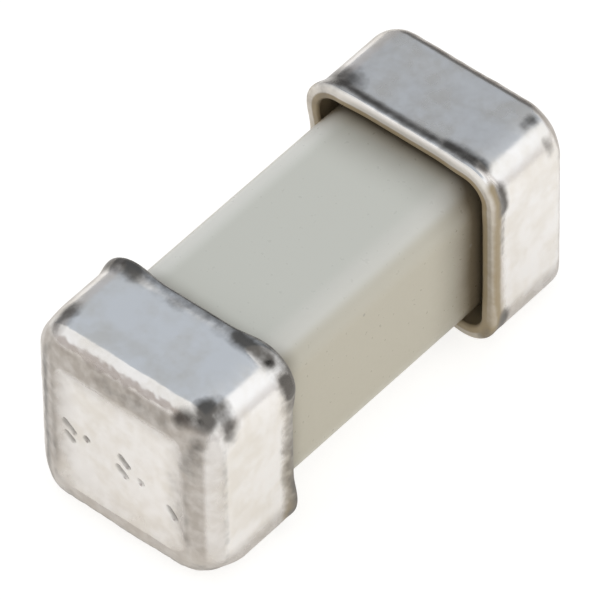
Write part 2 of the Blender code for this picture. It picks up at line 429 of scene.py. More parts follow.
@dataclass(frozen=True)
class Stroke:
    """A straight stretch from one place to another, in millimetres."""

    start: tuple[float, ...]
    end: tuple[float, ...]

    def away(self, points: np.ndarray) -> np.ndarray:
        """Return how far each point lies from the stretch, with both in metres."""
        start, end = np.array(self.start) * MM, np.array(self.end) * MM
        run = end - start
        share = np.clip((points - start) @ run / (run @ run), 0.0, 1.0)
        return np.linalg.norm(points - start - share[:, None] * run, axis=1)


@dataclass(frozen=True)
class Mark(Stroke):
    """A short bar struck into the end face, whose places lie across and up."""

    width: float = 0.055
    depth: float = 0.026
    edge: float = 1.2

    def press(self, points: np.ndarray) -> np.ndarray:
        """Return how deep the mark is at each point, in metres."""
        return self.depth * MM * smooth_step(self.edge - self.away(points[:, 1:]) / (self.width * MM))


@dataclass(frozen=True)
class ShadeAndStainPatch(Stroke):
    """A dark patch on the plating, mostly painted shade and painted reflection at corners, ears and rims and
    partly staining, which ends at edge times its reach and fades over fade times its reach.
    """

    reach: float
    strength: float
    edge: float = 1.55
    fade: float = 1.2

    def cover(self, points: np.ndarray) -> np.ndarray:
        """Return how dark the patch is at each point."""
        away = self.away(points) / (self.reach * MM)
        return self.strength * np.clip((self.edge - away) / self.fade, 0.0, 1.0)


@dataclass(frozen=True)
class Ramp:
    """A smooth rise from 0 to 1 that begins at one value and runs on from there, or back if negative."""

    start: float
    run: float

    def at(self, value: np.ndarray) -> np.ndarray:
        """Return the share at each value."""
        return smooth_step((value - self.start) / self.run)


@dataclass(frozen=True)
class Line:
    """A soft line: where its middle lies, and its half width."""

    middle: float
    width: float

    def at(self, value: np.ndarray) -> np.ndarray:
        """Return the share at each value, which is 1 in the line's middle."""
        return np.exp(-(((value - self.middle) / self.width) ** 2))


@dataclass(frozen=True)
class Section:
    """One ring of the cap.

    Its dish is how far the middles of its sides are sunk, and its border the width of the rise from there.
    Its inset is its depth in the sheet, on the rim. Its corners reach along X, and its middle falls below the
    cap's axis. It takes shares of each long edge's tightness (tight), of the change to the tightness at the
    end face (ended), and of the outer runs (bulge).
    """

    zone: Zone
    x: float
    half: float
    corner: float
    dish: float = 0.0
    border: float = 0.12 * MM
    inset: float = 0.0
    reach: float = 0.0
    fall: float = 0.0
    tight: float = 1.0
    bulge: float = 0.0
    ended: float = 0.0


@dataclass(frozen=True)
class Bend:
    """A bend in three arcs: a tight ridge, a broad sloping band and a soft end.

    Each arc runs on to its angle, in degrees, with its radius.
    """

    arcs: tuple[tuple[float, float], ...] = ((50.0, 0.20 * MM), (78.0, 0.36 * MM), (90.0, 0.75 * MM))
    steps: int = 12

    def points(self) -> list[tuple[float, float]]:
        """Return how far each point lies along X and inwards from the bend's start."""
        along, inwards, start = 0.0, 0.0, 0.0
        places = []
        for end, radius in self.arcs:
            for angle in np.radians(np.linspace(start, end, self.steps + 1)[1:]):
                first = math.radians(start)
                places.append((
                    along + radius * (math.sin(angle) - math.sin(first)),
                    inwards + radius * (math.cos(first) - math.cos(angle)),
                ))
            along, inwards = places[-1]
            start = end
        return places


@dataclass(frozen=True)
class EdgeLook:
    """How dull the band and the ridge along one edge of the end face are, partly rubbed plating and partly
    painted shade and painted reflection, and how dark the lines there, which are painted shade.

    One line of painted shade runs along the ridge, one along the crease round the face, and one at the foot
    of the ridge.
    """

    band: float
    ridge: float
    ridge_line: float
    crease: float
    foot: float = 0.0


def new_tree(
    name: str, lengths: Sequence[str], counts: Sequence[str] = (),
) -> tuple[Graph, Mapping[str, NodeSocket]]:
    """Start a Geometry Nodes tree that takes geometry and a material, and gives geometry.

    Args:
        name: The tree's name.
        lengths: Names of its inputs that are lengths or other numbers.
        counts: Names of its inputs that are whole numbers.

    Returns:
        The tree's graph, and its inputs' sockets by name.
    """
    tree = bpy.data.node_groups.new(name, "GeometryNodeTree")
    inputs = [("Geometry", "Geometry"), *((label, "Float") for label in lengths)]
    inputs += [*((label, "Int") for label in counts), ("Material", "Material")]
    for label, kind in inputs:
        tree.interface.new_socket(name=label, in_out="INPUT", socket_type="NodeSocket" + kind)
    tree.interface.new_socket(name="Geometry", in_out="OUTPUT", socket_type="NodeSocketGeometry")
    graph = Graph(tree)
    return graph, graph.add("NodeGroupInput", {}).outputs


def end_tree(graph: Graph, geometry: NodeSocket, material: NodeSocket) -> NodeTree:
    """Close a tree with real geometry in its material, and return it."""
    real = graph.out("GeometryNodeRealizeInstances", {0: geometry})
    dressed = graph.out("GeometryNodeSetMaterial", {"Geometry": real, "Material": material})
    graph.add("NodeGroupOutput", {0: dressed})
    return graph.tree


def relief_tree() -> NodeTree:
    """Return the tree that presses soft wrinkles and small bumps into a sheet, only ever inwards."""
    graph, given = new_tree(
        "wrinkled_plate", ("Wrinkle Depth", "Wrinkles per mm", "Bump Depth", "Bumps per mm", "Seed"),
    )
    place = graph.vector("SCALE", graph.out("GeometryNodeInputPosition", {}))
    place.inputs["Scale"].default_value = 1 / MM
    depths = []
    for label, attribute, rate in (
        ("Wrinkle Depth", RELIEF, "Wrinkles per mm"),
        ("Bump Depth", RIDGE, "Bumps per mm"),
    ):
        height = graph.noise(place.outputs[0], given[rate], 2.0, given["Seed"])
        share = graph.out("GeometryNodeInputNamedAttribute", {"Name": attribute}, data_type="FLOAT")
        depth = graph.times(graph.ease(height, 0.25, 0.75), given[label])
        depths.append(graph.times(depth, share))
    offset = graph.vector("SCALE", graph.out("GeometryNodeInputNormal", {}))
    graph.feed(offset, {"Scale": graph.times(graph.math("ADD", *depths), -1.0)})
    moved = {"Geometry": given["Geometry"], "Offset": offset.outputs[0]}
    return end_tree(graph, graph.out("GeometryNodeSetPosition", moved), given["Material"])


def tube_tree() -> NodeTree:
    """Return the tree that makes a square tube with rounded long edges and a round bore."""
    graph, given = new_tree(
        "fired_tube", ("Length", "Side", "Corner", "Bore"), ("Corner Steps", "Bore Steps"),
    )
    half = graph.times(given["Length"], 0.5)
    start = graph.out("ShaderNodeCombineXYZ", {0: graph.times(half, -1.0)})
    end = graph.out("ShaderNodeCombineXYZ", {0: half})
    spine = graph.out("GeometryNodeCurvePrimitiveLine", {"Start": start, "End": end})
    square = graph.out(
        "GeometryNodeCurvePrimitiveQuadrilateral", {"Width": given["Side"], "Height": given["Side"]},
    )
    rounded = {"Curve": square, "Count": given["Corner Steps"], "Radius": given["Corner"]}
    outline = graph.out("GeometryNodeFilletCurve", rounded, mode="POLY")
    swept = {"Curve": spine, "Profile Curve": outline, "Fill Caps": True}
    bar = graph.out("GeometryNodeCurveToMesh", swept)

    rod = graph.out(
        "GeometryNodeMeshCylinder",
        {
            "Vertices": given["Bore Steps"],
            "Radius": graph.times(given["Bore"], 0.5),
            "Depth": graph.times(given["Length"], 1.2),
        },
    )
    laid = graph.out("GeometryNodeTransform", {"Geometry": rod, "Rotation": (0.0, math.pi / 2, 0.0)})
    bored = graph.out("GeometryNodeMeshBoolean", {"Mesh 1": bar, "Mesh 2": laid}, operation="DIFFERENCE")
    lift = graph.out("ShaderNodeCombineXYZ", {2: graph.times(given["Side"], 0.5)})
    raised = graph.out("GeometryNodeTransform", {"Geometry": bored, "Translation": lift})
    return end_tree(graph, raised, given["Material"])


def run_tree(obj: Object, tree: NodeTree, sizes: object, material: Material) -> None:
    """Run a tree on an object and keep the result as its plain mesh.

    Args:
        obj: The object, which keeps its name.
        tree: The Geometry Nodes tree.
        sizes: Holds the tree's numbers, in fields that are named as its inputs are.
        material: The material.
    """
    modifier = obj.modifiers.new(tree.name, "NODES")
    modifier.node_group = tree
    for item in tree.interface.items_tree:
        if item.socket_type == "NodeSocketMaterial":
            modifier[item.identifier] = material
        elif item.socket_type != "NodeSocketGeometry":
            modifier[item.identifier] = getattr(sizes, item.name.lower().replace(" ", "_"))
    bpy.context.view_layer.update()
    evaluated = obj.evaluated_get(bpy.context.evaluated_depsgraph_get())
    made = bpy.data.meshes.new_from_object(evaluated)
    obj.modifiers.clear()
    old = obj.data
    obj.data = made
    bpy.data.meshes.remove(old)


@dataclass(frozen=True)
class CapWearAndShade:
    """Where a cap's plating is wrinkled, rubbed dull, marked with staining, brown with flux and cut, and
    where painted shade and painted reflection dull and darken it.

    Shares go from 0 to 1, and lengths are in metres. The ramps on tilt and under are in degrees: how far a
    point faces away from the top, and how far it faces down from the side.
    """

    faced: Ramp = Ramp(0.62, 0.38)
    marked: Ramp = Ramp(0.08 * MM, -0.03 * MM)
    wrinkled: float = 0.12
    on_end: Ramp = Ramp(0.0, 0.2 * MM)
    off_rim: Ramp = Ramp(0.0, 0.3 * MM)
    bumped: Ramp = Ramp(0.0, 0.10 * MM)
    cut: Ramp = Ramp(0.05 * MM, -0.05 * MM)
    # The end face's dulling, partly painted reflection; near the crease it rises to its edge band's value.
    face: float = 0.16
    face_reach: float = 0.36 * MM
    face_curve: float = 1.7
    past_ridge: Ramp = Ramp(0.106 * MM, 0.07 * MM)
    on_band: Ramp = Ramp(0.0, 0.06 * MM)
    # Painted shade: dulling along the cap's far upper long edge, where the reflection is dim.
    far_edge: float = 0.8
    far_start: Ramp = Ramp(36.0, 12.0)
    far_end: Ramp = Ramp(84.0, -12.0)
    # Painted reflection of the floor's shadow: dulling along the lower long edges.
    under_edge: float = 0.7
    turned_under: Ramp = Ramp(-2.0, 24.0)
    top: Ramp = Ramp(40.0, -26.0)
    outside: Ramp = Ramp(0.050 * MM, -0.030 * MM)
    # Lines of painted shade along the ridge, the crease and the foot of the ridge.
    ridge_line: Line = Line(0.010 * MM, 0.050 * MM)
    crease: Line = Line(0.0, 0.070 * MM)
    foot: Line = Line(0.185 * MM, 0.032 * MM)
    # Painted reflection: a dark line on the top just behind the lip.
    top_groove: Line = Line(0.105 * MM, 0.062 * MM)
    top_depth: Ramp = Ramp(0.036 * MM, -0.022 * MM)
    lip_reach: float = 0.28 * MM
    # How dark the struck marks are drawn, as painted shade in their hollows.
    struck: float = 0.60
    struck_depth: float = 0.026 * MM
    beside: Ramp = Ramp(-0.125 * MM, 0.25 * MM)
    # Brown on the lip's sides, more towards the bottom, and on its underside: partly flux, partly painted
    # reflection of shade.
    high_flux: float = 0.30
    low_flux: float = 0.45
    under_flux: float = 0.5
    underside: Ramp = Ramp(0.75, 0.25)
    flux_end: Ramp = Ramp(0.28 * MM, -0.18 * MM)
    # The same line on the sides, drawn brown, partly flux and partly painted reflection.
    side_groove: Line = Line(0.060 * MM, 0.085 * MM)
    side_gain: float = 1.3
    buried_flux: float = 0.95
    buried: Ramp = Ramp(0.080 * MM, 0.035 * MM)


@dataclass
class EndCap:
    """A square cup drawn from plated sheet, whose lip rises to an ear at each corner.

    The cap is worked out at the left end, where its mouth faces along X. Its long edges are numbered from the
    one between +Y and the top, on past the top. The outer runs say how far the bend starts later along X on
    the +Y side and on the -Y side.
    """

    end: End
    node: str
    length: float
    side: float
    marks: Sequence[Mark] = ()
    smears: Sequence[ShadeAndStainPatch] = ()
    wear: CapWearAndShade = CapWearAndShade()
    # Painted shade: how much darker the flat top panel is drawn.
    panel_wear: float = 0.0
    # Painted reflection: how dark the line behind the lip is drawn.
    groove: float = 0.0
    # Painted shade and painted reflection darkening the lip's rounding towards the rim.
    lip_stain: float = 0.0
    outer_runs: Span = (0.100 * MM, 0.0)
    wall_tightness: tuple[float, ...] = (0.17, 0.0, 0.37, 0.17)
    end_tightness: tuple[float, ...] = (0.02, 0.0, -0.08, 0.25)
    end_lead: float = 0.32 * MM
    end_run: float = 0.45 * MM
    # Each edge's dulling and lines of painted shade; the dulling is partly rubbed plating.
    top_edge: EdgeLook = EdgeLook(0.97, 0.28, 0.0, 0.05)
    bottom_edge: EdgeLook = EdgeLook(0.30, 0.60, 0.08, 0.12, 0.62)
    outer_edge: EdgeLook = EdgeLook(0.92, 0.66, 0.10, 0.30, 0.66)
    inner_edge: EdgeLook = EdgeLook(0.92, 0.48, 0.28, 0.25)
    depth: float = 1.365 * MM
    wall: float = 0.16 * MM
    corner: float = 0.56 * MM
    bend: Bend = Bend()
    inner_bend: float = 0.26 * MM
    side_dish: float = 0.012 * MM
    side_border: float = 0.35 * MM
    end_dish: float = 0.03 * MM
    end_border: float = 0.14 * MM
    end_corner: float = 0.24 * MM
    end_fall: float = 0.03 * MM
    lip_corner: float = 0.45 * MM
    lip_wall: float = 0.19 * MM
    lip_land: float = 0.055 * MM
    lip_slope: float = 0.17 * MM
    lip_rise: float = 0.026 * MM
    lip_sag: float = 0.018 * MM
    ear_reach: float = 0.035 * MM
    ear: float = 0.45 * MM
    outer_rounding: float = 0.05 * MM
    inner_rounding: float = 0.04 * MM
    wrinkle_depth: float = 0.009 * MM
    wrinkles_per_mm: float = 2.2
    bump_depth: float = 0.011 * MM
    bumps_per_mm: float = 6.5
    seed: float = 3.0
    flat_steps: int = 72
    corner_steps: int = 22
    slope_steps: int = 14
    wall_steps: int = 26
    face_steps: int = 52
    rim_steps: int = 6
    land_steps: int = 5
    inner_wall_steps: int = 4
    inner_bend_steps: int = 7
    inner_rings: tuple[float, ...] = (0.66, 0.33)
    shell: Object = field(init=False)

    @property
    def rim_x(self) -> float:
        """Place of the left cap's rim along X."""
        return -self.length / 2 + self.depth

    @property
    def half(self) -> float:
        """Half the width of the wall behind the lip."""
        return self.side / 2 - self.lip_rise

    @property
    def panel_start(self) -> float:
        """Where the flat wall begins behind the lip."""
        return self.rim_x - self.lip_land - self.lip_slope

    @property
    def panel_end(self) -> float:
        """Where the flat wall ends and the bend begins."""
        return -self.length / 2 + self.bend.points()[-1][0]

    def rim(self) -> list[Section]:
        """Sections round the rim, from the inside of the mouth to the top of the lip."""
        turn = np.linspace(0.0, math.pi / 2, self.rim_steps + 1)
        inner, outer, deep = self.inner_rounding, self.outer_rounding, self.lip_wall
        places = [(self.rim_x - inner * (1 - math.sin(a)), deep - inner * (1 - math.cos(a))) for a in turn]
        land = np.linspace(deep - inner, outer, self.land_steps + 1)[1:-1]
        places += [(self.rim_x, inset) for inset in land]
        places += [(self.rim_x - outer * (1 - math.cos(a)), outer * (1 - math.sin(a))) for a in turn]
        return [
            Section(
                Zone.RIM, x, self.side / 2 - inset, self.lip_corner - inset, self.lip_sag, self.ear, inset,
                self.ear_reach, tight=0.0,
            )
            for x, inset in places
        ]

    def slope(self, wall: float, zone: Zone) -> list[Section]:
        """Return the sections of the wall's run down from the lip.

        Args:
            wall: The sheet's thickness for the inner surface, or 0 for the outer one.
            zone: The part of the surface.

        Returns:
            The sections, from the lip on.
        """
        sections = []
        for share in np.linspace(0.0, 1.0, self.slope_steps):
            ease = float(smooth_step(share))
            sections.append(
                Section(
                    zone,
                    self.rim_x - self.lip_land - self.lip_slope * share,
                    self.side / 2 - wall - self.lip_rise * ease,
                    self.lip_corner + (self.corner - self.lip_corner) * ease - wall,
                    self.lip_sag + (self.side_dish - self.lip_sag) * ease,
                    self.ear + (self.side_border - self.ear) * ease,
                    reach=self.ear_reach * (1 - share),
                    tight=ease,
                )
            )
        return sections

    def ended(self, x: float) -> float:
        """Return how far the long edges have taken the radii that they have at the end face."""
        return float(smooth_step((self.panel_end + self.end_lead - x) / self.end_run))

    def outside(self) -> list[Section]:
        """Sections of the outer surface, from the lip to the middle of the end face."""
        sections = self.slope(0.0, Zone.LIP)
        for share in np.linspace(0.0, 1.0, self.wall_steps)[1:]:
            x = self.panel_start + (self.panel_end - self.panel_start) * share
            dish = self.side_dish * float(smooth_step((x - self.panel_end) / self.side_border))
            sections.append(
                Section(
                    Zone.WALL, x, self.half, self.corner, dish, self.side_border, bulge=share**3,
                    ended=self.ended(x),
                )
            )
        places = self.bend.points()
        drop = places[-1][1]
        for along, inset in places:
            x = self.panel_end - along
            share = inset / drop
            sections.append(
                Section(
                    Zone.BEND, x, self.half - inset, max(self.corner - inset, self.end_corner),
                    fall=self.end_fall * share, bulge=1 - share, ended=self.ended(x),
                )
            )
        last = sections[-1]
        for step in range(1, self.face_steps):
            scale = 1 - step / self.face_steps
            half, corner = last.half * scale, last.corner * scale
            x = last.x + self.end_dish * float(smooth_step(last.half * (1 - scale) / self.end_border))
            sections.append(Section(Zone.END, x, half, corner, fall=self.end_fall, ended=1.0))
        return sections

    def inside(self) -> list[Section]:
        """Sections of the inner surface, from the lip to the middle of the end."""
        bend = self.inner_bend
        half, corner = self.half - self.wall, self.corner - self.wall
        back = -self.length / 2 + self.wall + self.end_dish
        sections = self.slope(self.wall, Zone.INSIDE)
        for share in np.linspace(0.0, 1.0, self.inner_wall_steps + 1)[1:]:
            x = self.panel_start + (back + bend - self.panel_start) * share
            dish = self.side_dish * (1 - share)
            sections.append(Section(Zone.INSIDE, x, half, corner, dish, self.side_border))
        for angle in np.linspace(0.0, math.pi / 2, self.inner_bend_steps + 1)[1:]:
            inset = bend * (1 - math.cos(angle))
            x = back + bend * (1 - math.sin(angle))
            sections.append(Section(Zone.INSIDE, x, half - inset, corner - inset))
        last = sections[-1]
        for scale in self.inner_rings:
            sections.append(Section(Zone.INSIDE, back, last.half * scale, last.corner * scale))
        return sections

    def ring(self, section: Section) -> np.ndarray:
        """Return the points (x, y, z) of one section round the cap's axis."""
        radii = [
            section.corner * (1 - section.tight * (wall + (end - wall) * section.ended))
            for wall, end in zip(self.wall_tightness, self.end_tightness)
        ]
        station = np.linspace(0.0, 1.0, self.flat_steps, endpoint=False)
        angle = np.linspace(0.0, math.pi / 2, self.corner_steps, endpoint=False)
        near_run, far_run = self.outer_runs
        along, outline = [], []
        for turn, radius in enumerate(radii):
            start, end = section.half - radii[turn - 1], section.half - radius
            place = station * (start + end) - start
            level = smooth_step(np.minimum(place + start, end - place) / section.border)
            side = np.column_stack([section.half - section.dish * level, place])
            bend = np.column_stack([np.cos(angle), np.sin(angle)]) * radius + end
            turned = np.array(Matrix.Rotation(turn * math.pi / 2, 2)).T
            outline.append(np.vstack([side, bend]) @ turned)
            facing = np.cos(turn * math.pi / 2 + np.append(0 * station, angle))
            run = near_run * np.maximum(facing, 0) ** 2 + far_run * np.minimum(facing, 0) ** 2
            reach = section.reach * np.append(1 - level, 1 + 0 * angle)
            along.append(section.x + reach + section.bulge * run)
        return np.column_stack([np.concatenate(along), np.vstack(outline) - (0.0, section.fall)])

    def shape(self) -> tuple[np.ndarray, np.ndarray, np.ndarray, list[Sequence[int]]]:
        """Return the left cap's points, centred on its axis, the zone and inset of each, and the faces."""
        sections = [*reversed(self.inside()), *self.rim(), *self.outside()]
        rings = [self.ring(section) for section in sections]
        count = len(rings[0])
        zones = np.repeat([section.zone.value for section in sections], count)
        insets = np.repeat([section.inset for section in sections], count)
        index = np.arange(count)
        after = (index + 1) % count
        faces: list[Sequence[int]] = []
        for row in range(len(rings) - 1):
            near, far = row * count, (row + 1) * count
            faces.extend(np.column_stack([near + index, far + index, far + after, near + after]).tolist())
        centres = [[sections[0].x, 0.0, 0.0], [sections[-1].x, 0.0, -self.end_fall]]
        total = len(rings) * count
        last = total - count
        faces.extend(np.column_stack([index, after, np.full(count, total)]).tolist())
        faces.extend(np.column_stack([last + after, last + index, np.full(count, total + 1)]).tolist())
        zones = np.append(zones, [Zone.INSIDE.value, Zone.END.value])
        return np.vstack([*rings, centres]), zones, np.append(insets, [0.0, 0.0]), faces

    def struck(self, points: np.ndarray) -> np.ndarray:
        """Return how deep the struck marks are at each point of the left cap, in metres."""
        depths = [np.zeros(len(points)), *(mark.press(points) for mark in self.marks)]
        return np.max(depths, axis=0) * self.wear.marked.at(points[:, 0] + self.length / 2)

    def edge_blend(self, points: np.ndarray) -> np.ndarray:
        """Blend the four edges' looks by the side that each point faces.

        Args:
            points: The left cap's points, centred on its axis.

        Returns:
            A row for each value of EdgeLook, with its value at each point.
        """
        wide = np.abs(points[:, 1:]).max(axis=1) + 1e-9
        across, up = points[:, 1] / wide, points[:, 2] / wide
        edges = (self.top_edge, self.bottom_edge, self.outer_edge, self.inner_edge)
        looks = [astuple(edge) for edge in edges]
        shares = np.array([self.wear.faced.at(facing) for facing in (up, -up, across, -across)]) + 1e-6
        return np.transpose(looks) @ shares / shares.sum(axis=0)

    def masks(
        self, points: np.ndarray, zones: np.ndarray, insets: np.ndarray, struck: np.ndarray,
    ) -> dict[str, np.ndarray]:
        """Work out where the left cap is wrinkled, rubbed dull, marked with staining, brown with flux and
        cut, and where shade and reflection are painted on it.

        Args:
            points: The left cap's points, centred on its axis.
            zones: The zone of each.
            insets: How deep in the sheet each lies, on the rim.
            struck: The depth of the struck marks at each.

        Returns:
            A value for each point, by the attribute's name.
        """
        wear = self.wear
        inside, rim, _, wall, bend, end = (zones == zone.value for zone in Zone)
        run, drop = self.bend.points()[-1]
        to_rim = self.rim_x - points[:, 0]
        along_bend = run - points[:, 0] - self.length / 2
        sunk = self.half - np.abs(points[:, 1:]).max(axis=1)
        to_crease = sunk - drop
        flat = self.half - self.corner
        across = np.maximum(np.abs(points[:, 1]) - flat, 1e-9)
        tilt = np.degrees(np.arctan2(across, np.maximum(points[:, 2] - flat, 0.0)))
        under = np.degrees(np.arctan2(np.maximum(-points[:, 2] - flat, 0.0), across))
        top = wear.top.at(tilt)
        outside = wear.outside.at(insets) * ~inside
        relief = (wear.wrinkled + (1 - wear.wrinkled) * wear.on_end.at(along_bend)) * wear.off_rim.at(to_rim)

        band, ridge, ridge_line, crease, foot = self.edge_blend(points)
        past_ridge = ridge + (1 - ridge) * wear.past_ridge.at(sunk)
        # The band on the bend is dulled, partly rubbed and partly painted shade and painted reflection.
        on_band = band * past_ridge * wear.on_band.at(along_bend)
        near_crease = np.clip(1 - np.abs(to_crease) / wear.face_reach, 0.0, 1.0) ** wear.face_curve
        # End face dulled, partly as painted reflection, more near the crease.
        face = wear.face + (band - wear.face) * near_crease
        behind = points[:, 1] * math.cos(self.end.value) > 0
        # Painted shade along the far upper long edge.
        far_edge = wear.far_edge * wear.far_start.at(tilt) * wear.far_end.at(tilt) * behind
        # Painted reflection of the floor's shadow along the lower long edges.
        under_edge = wear.under_edge * wear.turned_under.at(under)
        # Painted shade and painted reflection: the top panel, the far upper long edge and the lower long
        # edges are dulled.
        worn_and_shaded = np.maximum(self.panel_wear * top, np.maximum(far_edge, under_edge))
        worn_and_shaded = np.where(bend, np.maximum(on_band, worn_and_shaded), worn_and_shaded)
        worn_and_shaded = np.where(end, face, worn_and_shaded)

        # Painted reflection: a dark line on the top behind the lip.
        top_groove = wear.top_groove.at(to_rim) * outside * top * wear.top_depth.at(insets)
        # Painted shade and painted reflection on the lip, darkest at the rim.
        near_lip = np.clip(1 - to_rim / wear.lip_reach, 0.0, 1.0) * outside
        dark_marks = [
            # Painted shade: dark lines along the ridge, the crease round the end face and the foot of the
            # ridge.
            ridge_line * wear.ridge_line.at(along_bend) * (bend | wall),
            crease * wear.crease.at(to_crease) * (bend | end),
            foot * wear.foot.at(along_bend) * bend,
            self.groove * top_groove,
            self.lip_stain * near_lip,
            # Painted shade in the struck marks, darker where they are deeper.
            wear.struck * struck / wear.struck_depth,
            # Dark patches: mostly painted shade and painted reflection, partly staining.
            *(patch.cover(points) for patch in self.smears),
        ]

        beside = wear.beside.at(np.abs(points[:, 1]) - np.abs(points[:, 2]))
        low = 0.5 - points[:, 2] / self.side
        # Brown on the lip, more towards the bottom: partly flux, partly painted reflection of the shaded
        # tube.
        lip_flux_and_shade = beside * (wear.high_flux + wear.low_flux * low) + wear.under_flux * wear.underside.at(low)
        # Brown line behind the lip on the sides, partly flux and partly painted reflection.
        side_flux_and_shade = min(wear.side_gain * self.groove, 1.0) * wear.side_groove.at(to_rim) * outside * beside
        flux = np.maximum(lip_flux_and_shade * wear.flux_end.at(to_rim), side_flux_and_shade)
        flux = np.where(rim, np.maximum(flux, wear.buried_flux * wear.buried.at(insets)), flux)
        return {
            RELIEF: np.where(inside, 0.0, relief),
            RIDGE: np.where(bend, wear.bumped.at(along_bend), 0.0),
            # Dulling, partly painted shade and painted reflection.
            WEAR_AND_SHADE: np.where(inside | rim, 0.0, worn_and_shaded),
            # Dark marks, mostly painted shade and painted reflection.
            STAIN_AND_SHADE: np.where(inside, 0.0, np.max(dark_marks, axis=0)),
            FLUX_AND_SHADE: np.where(inside, 1.0, flux),
            CUT_EDGE: np.where(rim, wear.cut.at(to_rim), 0.0),
        }

    def build(self, material: Material) -> Object:
        """Make the cap's mesh where the solid is.

        Args:
            material: The plating.

        Returns:
            The cap's object.
        """
        points, zones, insets, faces = self.shape()
        struck = self.struck(points)
        masks = self.masks(points, zones, insets, struck)
        points[:, 0] += struck
        mesh = bpy.data.meshes.new(self.node + "_shell")
        mesh.from_pydata(points.tolist(), [], faces)
        for name, values in masks.items():
            attribute = mesh.attributes.new(name, "FLOAT", "POINT")
            attribute.data.foreach_set("value", values.astype(np.float32))
        lift = Matrix.Translation((0.0, 0.0, self.side / 2))
        mesh.transform(lift @ Matrix.Rotation(self.end.value, 4, "Z"))
        mesh.update()
        self.shell = add_object(mesh.name, mesh)
        run_tree(self.shell, relief_tree(), self, material)
        self.shell.data.shade_smooth()
        return self.shell

    def dress(self) -> None:
        """Tie the cap to the fuse and let it stand for its solid."""
        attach(self.shell, BODY)
        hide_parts(self.node)


@dataclass
class CeramicTube:
    """The fired ceramic tube between the caps."""

    node: str
    length: float
    side: float
    floor_to_axis: float
    corner: float = 0.39 * MM
    bore: float = 1.29 * MM
    corner_steps: int = 24
    bore_steps: int = 64
    sharp_angle: float = 40.0
    skin: Object = field(init=False)

    def build(self, material: Material) -> Object:
        """Make the tube's mesh where the solid is.

        Args:
            material: The ceramic.

        Returns:
            The tube's object.
        """
        name = self.node + "_skin"
        self.skin = add_object(name, bpy.data.meshes.new(name))
        run_tree(self.skin, tube_tree(), self, material)
        mesh = self.skin.data
        mesh.transform(Matrix.Translation((0.0, 0.0, self.floor_to_axis - self.side / 2)))
        mesh.shade_smooth()
        mesh.set_sharp_from_angle(angle=math.radians(self.sharp_angle))
        return self.skin

    def dress(self) -> None:
        """Tie the tube to the fuse and let it stand for its solid."""
        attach(self.skin, BODY)
        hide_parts(self.node)


@dataclass
class InnerMetal:
    """A piece inside the fuse that keeps its solid."""

    node: str
    finish: DullMetalFinish

    def dress(self, frame: Mapping[str, Mapping[str, Object]]) -> None:
        """Give the solid its finish.

        Args:
            frame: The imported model, as loaded.
        """
        mesh = frame["nodes"][self.node].data
        mesh.materials.clear()
        mesh.materials.append(self.finish.material())


@dataclass(frozen=True)
class Card:
    """A patch of the surroundings: its middle, half its width and height, and what it gives off."""

    azimuth: float
    elevation: float
    width: float
    height: float
    softness: float
    colour: Colour

    def axes(self) -> tuple[Vector, Vector, Vector]:
        """Return the unit vectors towards the card's middle, across it and up it."""
        turn, rise = math.radians(self.azimuth), math.radians(self.elevation)
        front = Vector((math.cos(rise) * math.cos(turn), math.cos(rise) * math.sin(turn), math.sin(rise)))
        across = Vector((-math.sin(turn), math.cos(turn), 0.0))
        return front, across, front.cross(across)

    def mask(self, graph: Graph, look: NodeSocket) -> NodeSocket:
        """Return how far a look from the fuse falls on the card, from 0 to 1."""
        depth, across, rise = (
            graph.vector("DOT_PRODUCT", look, tuple(axis)).outputs["Value"] for axis in self.axes()
        )
        share: Input = 1.0
        for angle, limit in (
            (graph.math("ARCTAN2", across, depth), self.width),
            (graph.math("ARCSINE", rise), self.height),
        ):
            away = graph.math("ABSOLUTE", angle)
            inner, outer = math.radians(limit), math.radians(limit + self.softness)
            share = graph.times(share, graph.ease(away, inner, outer, 1.0, 0.0))
        return share


